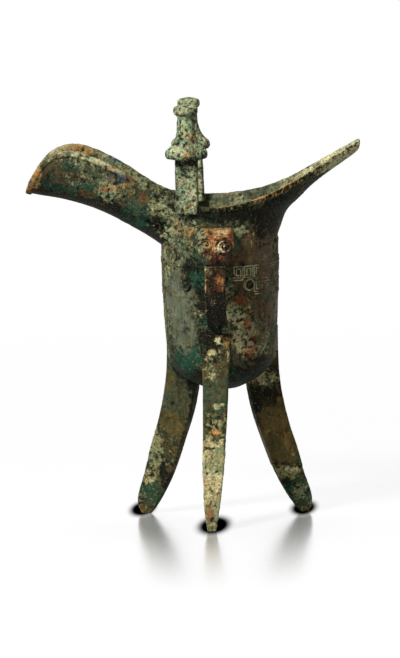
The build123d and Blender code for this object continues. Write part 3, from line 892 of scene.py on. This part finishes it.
legs = {  # lengths in mm
    "voxel": 0.42,
    "crustRise": 0.2,
    "seed": 40,
    "finish": legBronze,
    "slot": "leg_bronze",
    "bias": {
        "brown": (0.45, 0.6, 10), "grey": (0.2, 0.5, 9), "soot_and_shade": (0.05, 0.4, 8), "teal": (0.05, 0.5, 8),
        "crust": (0.15, 0.5, 7), "earth": (0.02, 0.5, 6), "rust": (-0.05, 0.5, 6),
        "azurite": (-0.5, 0.4, 8), "pale": (0.06, 0.5, 6),
    },
}
# soot where the legs meet the bowl, along their inner edges and on the right foot is partly painted shade; on
# the left foot it marks cracks
legSpots = {
    "front": {
        "brown": [((-2, -40, 22), (12, 14, 26), -0.6), ((-3, -43, 8), (6, 8, 4), 0.5),
            ((1, -28, 78), (4, 5, 6), 0.5)],
        "grey": [((0, -30, 66), (12, 10, 12), 0.6)],
        "soot_and_shade": [((-3, -28, 95), (7, 6, 8), 0.9), ((-3, -32, 49.5), (4, 5, 1.6), 0.5),
            ((-2, -42, 20), (12, 14, 26), -0.6)],
        "teal": [((0, -32, 62), (8, 8, 8), 0.5), ((3, -33, 46), (2.5, 5, 3), 0.5)],
        "crust": [((-2, -42, 20), (12, 14, 26), 1.5), ((-1, -31, 53), (5, 8, 4), 0.5),
            ((0, -28, 86), (10, 10, 9), 0.3)],
        "earth": [((-1.9, -32.7, 46.9), (2.6, 5, 1.9), 1.2), ((-6, -39, 23), (2, 6, 8), 0.5),
            ((0, -42, 22), (5, 8, 10), 0.2),
            ((4, -27.5, 90), (1.8, 4, 4), 0.9)],
        "rust": [((-5, -45, 9), (3, 6, 4), 0.6), ((-2.5, -33, 49), (2.2, 4, 1), 0.5),
            ((3.6, -27.5, 92), (2, 4, 3), 0.5)],
        "pale": [((-3, -38, 30), (10, 10, 16), 0.55), ((-1, -45, 8), (6, 8, 8), 0.3),
            ((0, -29.8, 59.1), (2.6, 4, 1.7), 0.8),
            ((-4.1, -27.5, 78), (3.2, 5, 5), 0.8), ((0, -27.6, 91.5), (1.6, 3, 1.9), 1.1),
            ((-3, -27.5, 85), (2, 4, 1.4), 0.8),
            ((5.1, -27, 83), (1, 3, 3), 0.9)],
    },
    "left": {
        "brown": [((-26, 8, 46), (7, 8, 8), 0.5), ((-33, 11, 32), (7, 8, 12), -0.6),
            ((-38, 18, 10), (10, 12, 11), -0.6)],
        "grey": [((-22, 7, 62), (10, 10, 14), 0.6)],
        "soot_and_shade": [((-33, 12, 29), (1.4, 5, 3), 1.0), ((-30.5, 12, 22), (1.6, 5, 6), 1.0),
            ((-28, 12, 15), (2.6, 6, 5), 0.7),
            ((-14, 6, 57), (3, 6, 20), 0.5), ((-21, 7, 67), (8, 8, 9), 0.3)],
        "teal": [((-36, 15, 11), (6, 8, 6), 0.8), ((-24, 8, 74), (6, 6, 5), 0.4)],
        "crust": [((-38, 16, 9), (10, 12, 9), 0.15), ((-22, 9, 76), (8, 10, 8), 0.25),
            ((-34, 11, 32), (4.5, 6, 12), 1.2)],
        "earth": [((-41, 18, 2.6), (5, 6, 2.6), 0.2), ((-26, 8, 68), (3, 4, 1.5), 0.5),
            ((-33, 12, 37), (4, 6, 12), 0.15)],
        "rust": [((-41, 18, 3), (4, 6, 3), 0.4), ((-22, 8, 41), (3, 6, 8), 0.2)],
        "pale": [((-37.9, 14.7, 18.5), (2.6, 5, 3.2), 0.6), ((-34, 12, 24), (2.2, 5, 2.5), 0.3)],
    },
    "right": {
        "brown": [((25, 10, 42), (13, 10, 20), 0.8), ((36, 15, 10), (12, 12, 13), -1.2),
            ((20, 5, 69), (8, 8, 6), -0.8)],
        "grey": [((26, 10, 42), (14, 12, 18), -0.2), ((20, 5, 68), (8, 8, 5), -0.6)],
        "soot_and_shade": [((20, 6, 58), (8, 6, 7), 0.8), ((29.5, 13, 13.5), (3.6, 6, 3.6), 0.9),
            ((15, 5, 40), (3, 5, 20), 0.3),
            ((29, 12, 25), (8, 6, 0.9), 0.5)],
        "teal": [((36, 15, 10), (8, 8, 6), 0.8)],
        "crust": [((34, 14, 12), (12, 10, 10), 0.4), ((20, 5, 68), (8, 8, 5), 0.9),
            ((28, 11, 20.4), (8, 6, 2.8), 1.0)],
        "earth": [((20.8, 7.4, 41.5), (1.6, 4, 3), 0.7), ((33.3, 12, 29), (2, 4, 2.6), 0.6),
            ((26.5, 11, 19), (3, 5, 3.5), 0.5),
            ((19, 5, 67), (6, 6, 4), 0.3)],
        "rust": [((33.3, 12, 28.5), (2, 4, 3), 0.4)],
        "pale": [((30, 12, 22.2), (9, 6, 0.9), 0.7), ((25.5, 11, 18.5), (3.4, 5, 3), 0.5),
            ((19.2, 5, 67.5), (6, 5, 4), 0.6), ((16, 4.8, 55.7), (2.2, 3, 0.7), 0.8)],
    },
}
footStep = {"height": 24, "soft": 1.5, "deep": 0.35, "ragged": 2.2}  # on the right leg, mm


def footEdge(at, out):
    # the smooth upper leg ends at a step, below which the foot is eaten away
    height = at[:, 2] + footStep["ragged"] * grain(at, 5, 2, 77)
    return -footStep["deep"] * ease(height, footStep["height"], footStep["height"] - footStep["soft"])


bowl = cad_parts["cup"].data
bowlTree = BVHTree.FromPolygons([v.co for v in bowl.vertices], [p.vertices for p in bowl.polygons])


jointRules = {"pale": (0.55, 1.8, 0.6), "soot_and_shade": (0.5, 4, 1.6)}  # strength, end and full, mm from the bowl


def bowlJoint(at, masks):
    # pale crust, and soot that is dirt and painted shade, where the leg meets the bowl
    near = np.array([bowlTree.find_nearest(Vector(p))[3] for p in at * mm + bowlAxis]) / mm
    for key, (strength, end, full) in jointRules.items():
        masks[key] += strength * ease(near, end, full)


for step, (side, spots) in enumerate(legSpots.items()):
    workCasting(
        "leg" + side.capitalize(), "leg_" + side, legs, spots, legs["seed"] + casting["seedStep"] * step,
        shape=footEdge if side == "right" else None, paint=bowlJoint,
    )

posts = {  # lengths in mm
    "voxel": 0.34,
    "crustRise": 0.14,
    "seed": 70,
    "finish": postBronze,
    "slot": "post_bronze",
    "bias": {
        "brown": (-0.1, 0.3, 8), "grey": (0.1, 0.4, 7), "soot_and_shade": (0.05, 0.4, 5), "teal": (0.25, 0.5, 6),
        "crust": (0.68, 0.5, 6), "earth": (0.1, 0.4, 5), "rust": (-0.1, 0.5, 5),
        "azurite": (-0.5, 0.4, 6), "pale": (0.3, 0.5, 5),
    },
}
# the soot under each cap's brim and under its top is painted shade
postSpots = {
    "post_front": {
        "soot_and_shade": [((-14, -30, 177), (9, 8, 2.6), 0.9), ((-14.5, -31, 174), (4, 4, 2.4), 0.5),
            ((-19, -30, 158), (1.4, 4, 8), 0.5)],
        "grey": [((-19, -30, 158), (3, 6, 8), 0.8)],
        "pale": [((-9, -31, 170), (2.4, 6, 14), 0.3), ((-8, -31, 156), (4, 6, 4), 0.4)],
        "earth": [((-14, -32, 157), (7, 5, 5), 0.3)],
    },
    "post_back": {"pale": [((-14, 22, 168), (8, 6, 14), 0.6)], "soot_and_shade": [((-14, 22, 176), (9, 8, 3), 0.8)]},
    "cap_front": {
        "rust": [((-11.5, -31, 190), (2, 5, 2.6), 0.85), ((-10, -34, 184.5), (3, 4, 1.5), 0.4)],
        "earth": [((-14, -36, 183), (6, 5, 1.8), 0.5), ((-13, -33, 204), (6, 4, 1.6), 0.35)],
        "teal": [((-16, -31, 192), (3, 5, 4), 0.6)],
        "soot_and_shade": [((-13, -30, 199), (8, 8, 1.6), 0.5), ((-14, -30, 179.5), (14, 14, 1.4), 0.6)],
        "pale": [((-18, -32, 184), (5, 6, 2), 0.4), ((-13, -33, 204), (6, 6, 1.6), 0.2)],
    },
    "cap_back": {
        "pale": [((-14, 22, 200), (8, 8, 4), 0.2), ((-5, 18, 182), (5, 8, 3), 0.6)],
        "soot_and_shade": [((-14, 22, 178.5), (14, 14, 1.4), 0.8)],
    },
}
capNeck = {"below": 6.6, "tall": 1.5, "deep": 0.65}  # the groove under the cap's top, mm


def neckGroove(at, out):
    down = at[:, 2].max() - at[:, 2]
    side = ease(np.abs(out[:, 2]), 0.8, 0.4)
    return -capNeck["deep"] * side * np.exp(-((down - capNeck["below"]) / capNeck["tall"]) ** 2)


for step, (node, spots) in enumerate(postSpots.items()):
    part, place = node.split("_")
    workCasting(
        part + place.capitalize(), node, posts, spots, posts["seed"] + casting["seedStep"] * step,
        shape=neckGroove if part == "cap" else None,
    )


# Handle: the strap, and the animal's head with its eyes, brows and snout worked on

def ball(middle, radii):
    form = bmesh.new()
    bmesh.ops.create_uvsphere(form, u_segments=32, v_segments=20, radius=1)
    for vert in form.verts:
        vert.co = [(middle[i] + vert.co[i] * radii[i]) * mm + bowlAxis[i] for i in range(3)]
    return form


def rod(path, radii, sides=14):
    # a round bar along the path, with a radius at each of its points
    form = bmesh.new()
    rings = []
    for i, place in enumerate(path):
        along = (Vector(path[min(i + 1, len(path) - 1)]) - Vector(path[max(i - 1, 0)])).normalized()
        side = along.orthogonal().normalized() if i == 0 else (side - along * side.dot(along)).normalized()
        up = along.cross(side)
        ring = []
        for j in range(sides):
            a = 2 * math.pi * j / sides
            out = [radii[i] * (side[k] * math.cos(a) + up[k] * math.sin(a)) for k in range(3)]
            ring.append(form.verts.new([(place[k] + out[k]) * mm + bowlAxis[k] for k in range(3)]))
        rings.append(ring)
    for lower, upper in zip(rings, rings[1:]):
        for j in range(sides):
            form.faces.new((lower[j], lower[(j + 1) % sides], upper[(j + 1) % sides], upper[j]))
    form.faces.new(reversed(rings[0]))
    form.faces.new(rings[-1])
    return form


head = {  # lengths in mm
    "voxel": 0.28,
    "crustRise": 0.4,
    "seed": 110,
    "eye": (4.9, -44.5, 138.4),
    "eyeRadius": 1.35,
    "glint": (4.7, -45.7, 138.9),
    "ringRadius": 2.9,
    "ringThick": 0.42,
    "browRadius": 4.7,
    "browThick": 0.62,
    "browArc": (-25, 175),  # degrees from the outer corner
    "socket": 2.4,  # how far from the eye's middle its pale socket and its dark rim lie
    "rim": 3.9,
    "tilt": (0.2, -0.8, 0.56),  # which way the right eye looks
    "sunk": 0.7,  # how far the left eye lies under its crust
    "edges": {  # how far from its middle each has ended and is full
        "eye": (1.8, 1.4), "pupil": (1.7, 1.2), "socket": (1.2, 0.6),
        "rim": (0.7, 0.25), "brow": (0.8, 0.3), "glint": (0.7, 0.4),
    },
    "cheek": (2.9, -44.2, 131.8),
    "cheekRadii": (2.3, 1.5, 2.9),
    "nose": [(0, -41.4, 141.6), (0, -43.6, 139.8), (0, -45.0, 137), (0, -45.2, 133.6), (0, -44.8, 130.6)],
    "noseRadii": (0.9, 1.2, 1.1, 1.3, 1.6),
}


def arcAbout(middle, facing, radius, start, end, steps, side):
    facing = Vector(facing).normalized()
    up = (Vector((0, 0, 1)) - facing * facing.z).normalized()
    right = up.cross(facing).normalized() * -side
    return [
        tuple(Vector(middle) + radius * (right * math.cos(a) + up * math.sin(a)))
        for a in (turn(start + (end - start) * i / steps) for i in range(steps + 1))
    ]


def headForms(set):
    forms = []
    for side in (-1, 1):
        eye = (side * set["eye"][0], set["eye"][1] + (set["sunk"] if side < 0 else 0), set["eye"][2])
        facing = (side * set["tilt"][0], *set["tilt"][1:])
        forms.append(ball(eye, (set["eyeRadius"],) * 3))
        ring = arcAbout(eye, facing, set["ringRadius"], 0, 350, 40, side)
        forms.append(rod(ring, [set["ringThick"]] * len(ring)))
        steps = 24
        brow = arcAbout(eye, facing, set["browRadius"], *set["browArc"], steps, side)
        taper = [0.45 + 0.55 * math.sin(math.pi * i / steps) for i in range(steps + 1)]
        forms.append(rod(brow, [set["browThick"] * share for share in taper]))
        cheek = (side * set["cheek"][0], *set["cheek"][1:])
        forms.append(ball(cheek, set["cheekRadii"]))
    forms.append(rod(set["nose"], set["noseRadii"]))
    return forms


handle = {
    "finish": handleBronze,
    "slot": "handle_bronze",
    "bias": {
        "brown": (0.6, 0.4, 7), "grey": (-0.1, 0.4, 6), "soot_and_shade": (0.1, 0.5, 5), "teal": (0.05, 0.5, 6),
        "crust": (0.1, 0.5, 6), "earth": (0.12, 0.5, 5), "rust": (0.12, 0.5, 5),
        "azurite": (-0.5, 0.4, 6), "pale": (0.06, 0.5, 5),
    },
}
headSpots = {
    "earth": [((2, -34, 144.5), (8, 8, 3), 0.9), ((-2, -43, 139), (5, 5, 5), 0.6),
        ((8, -36, 141.5), (3, 5, 3.5), 0.8)],
    "pale": [((5, -36, 143.5), (5, 6, 3), 0.65), ((-2, -43, 140), (5, 5, 4), 0.3),
        ((2, -45, 138), (1.3, 3, 2.2), 1.1), ((1.6, -46, 133.8), (0.8, 2, 0.8), 0.6)],
    "crust": [((-5, -42, 140), (4, 8, 5), 0.7), ((-9, -34, 136), (3, 9, 9), 0.8),
        ((0, -34, 145), (9, 8, 3), 0.5)],
    "teal": [((11, -30, 137), (4, 8, 4), 1.3), ((-10, -32, 137), (3, 8, 5), 1.0),
        ((-3, -29, 145.7), (3, 5, 2), 1.1),
        ((-4, -45, 131.5), (2, 4, 2.5), 0.8)],
    "rust": [((-1, -43, 141), (7, 5, 2), 0.3), ((2, -45, 134), (2.4, 4, 2), 0.3),
        ((2, -31, 146.5), (3, 3, 1.5), 0.8),
        ((8, -37, 143), (2, 4, 2), 0.7), ((-3, -37, 142.5), (4, 4, 1.4), 0.6)],
    "brown": [((3, -45, 131), (4, 4, 4), 0.7), ((9, -32, 134), (4, 8, 4), -0.8)],
    # soot under the snout and beside the head is painted shade, with dirt
    "soot_and_shade": [((0, -45, 129), (7, 6, 1.5), 1.1), ((7.6, -38, 134), (1.4, 6, 6), 0.7),
        ((-6.6, -38, 134), (1.4, 6, 8), 0.8),
        ((2.4, -45.5, 131), (2.4, 3, 1.4), 0.5)],
}


def headPaint(at, masks):
    # dark eye in a pale socket with a dark rim, a painted highlight (glint) on it, and a red line inside the
    # brow
    away = np.sqrt(((at - head["eye"]) ** 2).sum(1))
    fromGlint = np.sqrt(((at - head["glint"]) ** 2).sum(1))
    right = at[:, 0] > 0.4
    edges = head["edges"]
    eye = right * ease(away, *edges["eye"])
    pupil = right * ease(away, *edges["pupil"])
    socket = right * ease(np.abs(away - head["socket"]), *edges["socket"])
    rim = right * ease(np.abs(away - head["rim"]), *edges["rim"])
    brow = ease(np.abs(away - head["browRadius"]), *edges["brow"])
    glint = ease(fromGlint, *edges["glint"])
    masks["pale"] += (0.35 + 0.7 * ease(at[:, 0], 5.4, 3.6)) * socket - 2 * eye + 4 * glint
    masks["soot_and_shade"] += 1.3 * pupil + 0.9 * rim - 3 * glint
    masks["rust"] += 0.5 * brow


workCasting(
    "handleHead", "handle_head", {**handle, **head}, headSpots, head["seed"],
    forms=headForms(head), paint=headPaint,
)
strapSpots = {
    "earth": [((2, -45, 121), (2.2, 4, 4), 0.4), ((3.9, -44, 116), (0.6, 4, 10), 0.4),
        ((-4.6, -44, 112), (0.6, 4, 18), 0.6)],
    "rust": [((2, -44, 121), (3, 4, 5), 0.2)],
    "crust": [((-3.4, -44, 125), (1.8, 4, 4), 0.3)],
    "pale": [((-4.8, -44, 112), (0.6, 3, 18), 0.5), ((0, -44, 128.5), (5, 2, 0.5), 0.6),
        ((0.6, -44, 117), (0.8, 3, 1), 0.5)],
    # the soot at the strap's foot, where it curves back to the wall, is painted shade with dirt
    "soot_and_shade": [((1, -43, 103), (9, 9, 10), 1.3), ((-1.5, -45, 119), (2, 4, 6), 0.45),
        ((1, -45, 113), (4, 4, 3), 0.6)],
}
strap = {  # lengths in mm
    "voxel": 0.35,
    "crustRise": 0.14,
    "seed": 130,
    "beadRise": 0.22,
    "beadEdge": (3.4, 4.1),  # from its middle line, mm
}


def strapEdges(at, out):
    # the strap's two edges stand a little proud of its face
    return strap["beadRise"] * ease(np.abs(at[:, 0]), *strap["beadEdge"])


workCasting("handleStrap", "handle_strap", {**handle, **strap}, strapSpots, strap["seed"], shape=strapEdges)
print("object made")


# Floor, lamps and world

stage = {
    "floorHalf": 1.2,  # m
    # each foot's contact shadow: its middle from the foot, and its half width and depth, in mm
    "feet": {
        "leg_front": ((-0.2, 18), (9.6, 38)),
        "leg_left": ((-4.2, 15), (7.4, 32)),
        "leg_right": ((-0.9, 13), (7.6, 31)),
    },
    "contactEdge": (0.55, 1.2),  # in half sizes, where it is full and where it has ended
    "reflection": 0.9,
    "reflectionReach": (0.03, 0.24),  # m, from full to none
    "reflectionBlur": 0.2,
    "lamps": {
        "key": {"at": (-1.2, -1.7, 1.8), "size": 0.6, "power": 66},
        "fill": {"at": (1.6, -1.6, 0.6), "size": 1.2, "power": 1.5},
        "top": {"at": (-0.1, 0.4, 1.9), "size": 0.9, "power": 14},
    },
    "world": 0.065,
    "floorTone": 0.3,  # for light that the floor gives back
    "floorRough": 0.5,
    "shadow": 0.12,  # how much of the cast shadow shows on the white floor
    "shadowReach": (0.25, 0.8),  # m, from full to none
}


def backdropRays(tree):
    # 1 for the rays that see the backdrop as plain white: straight, mirrored or through glass
    path = tree.nodes.new("ShaderNodeLightPath")
    seen = calc(tree, "MAXIMUM", path.outputs["Is Camera Ray"], path.outputs["Is Transmission Ray"])
    return calc(tree, "MAXIMUM", seen, path.outputs["Is Glossy Ray"])


def contactLight(tree, place, set):
    # 0 in the soft dark contact shadow under each foot, and 1 elsewhere
    light = 1
    for node, (shift, half) in set["feet"].items():
        foot = np.array([v.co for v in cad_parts[node].data.vertices if v.co.z < 2 * mm])
        spot = foot.mean(0)
        middle = (spot[0] + shift[0] * mm, spot[1] + shift[1] * mm, 0)
        away = vectorCalc(tree, "SUBTRACT", place, middle)
        away = vectorCalc(tree, "MULTIPLY", away, (1 / (half[0] * mm), 1 / (half[1] * mm), 0))
        clear = remap(tree, vectorCalc(tree, "LENGTH", away), set["contactEdge"], kind="SMOOTHSTEP")
        light = calc(tree, "MULTIPLY", light, clear)
    return light


def makeFloor(set):
    form = bmesh.new()
    bmesh.ops.create_grid(form, x_segments=1, y_segments=1, size=set["floorHalf"])
    floor = addObject("floor", takeMesh(form, "floor"))
    material = bpy.data.materials.new("paleFloor")
    material.use_nodes = True
    tree = material.node_tree
    shader = tree.nodes["Principled BSDF"]
    shader.inputs["Base Color"].default_value = (*[set["floorTone"]] * 3, 1)
    shader.inputs["Roughness"].default_value = set["floorRough"]
    place = tree.nodes.new("ShaderNodeTexCoord").outputs["Object"]
    light = contactLight(tree, place, set)
    # what is seen of it is white, with a blurred reflection near the feet and a faint cast shadow
    far = vectorCalc(tree, "LENGTH", place)
    fade = remap(tree, far, set["reflectionReach"], (set["reflection"], 0), "SMOOTHSTEP")
    white = put(tree, "ShaderNodeEmission", {"Color": light, "Strength": 1.0})
    gloss = put(tree, "ShaderNodeBsdfGlossy", {"Color": (1, 1, 1, 1), "Roughness": set["reflectionBlur"]})
    clear = calc(tree, "MULTIPLY", fade, light)
    shown = put(tree, "ShaderNodeMixShader", {0: clear, 1: white.outputs[0], 2: gloss.outputs[0]})
    matt = put(tree, "ShaderNodeBsdfDiffuse", {"Color": light})
    near = remap(tree, far, set["shadowReach"], (set["shadow"], 0))
    shown = put(tree, "ShaderNodeMixShader", {0: near, 1: shown.outputs[0], 2: matt.outputs[0]})
    mix = put(tree, "ShaderNodeMixShader", {0: backdropRays(tree), 1: shader.outputs[0], 2: shown.outputs[0]})
    tree.links.new(mix.outputs[0], tree.nodes["Material Output"].inputs["Surface"])
    floor.data.materials.append(material)


def makeLamps(set):
    for name, lamp in set["lamps"].items():
        light = bpy.data.lights.new(name, "AREA")
        light.shape = "DISK"
        light.size = lamp["size"]
        light.energy = lamp["power"]
        made = addObject(name, light)
        made.location = lamp["at"]
        aim = Vector(camera["target"]) * mm - made.location
        made.rotation_euler = aim.to_track_quat("-Z", "Y").to_euler()


def makeWorld(set):
    world = bpy.data.worlds.new("studio")
    world.use_nodes = True
    scene.world = world
    tree = world.node_tree
    back = tree.nodes["Background"]
    back.inputs["Color"].default_value = (1, 1, 1, 1)
    level = remap(tree, backdropRays(tree), (0, 1), (set["world"], 1))
    tree.links.new(level, back.inputs["Strength"])


makeFloor(stage)
makeLamps(stage)
makeWorld(stage)
scene.view_settings.view_transform = "Standard"
print("stage made")
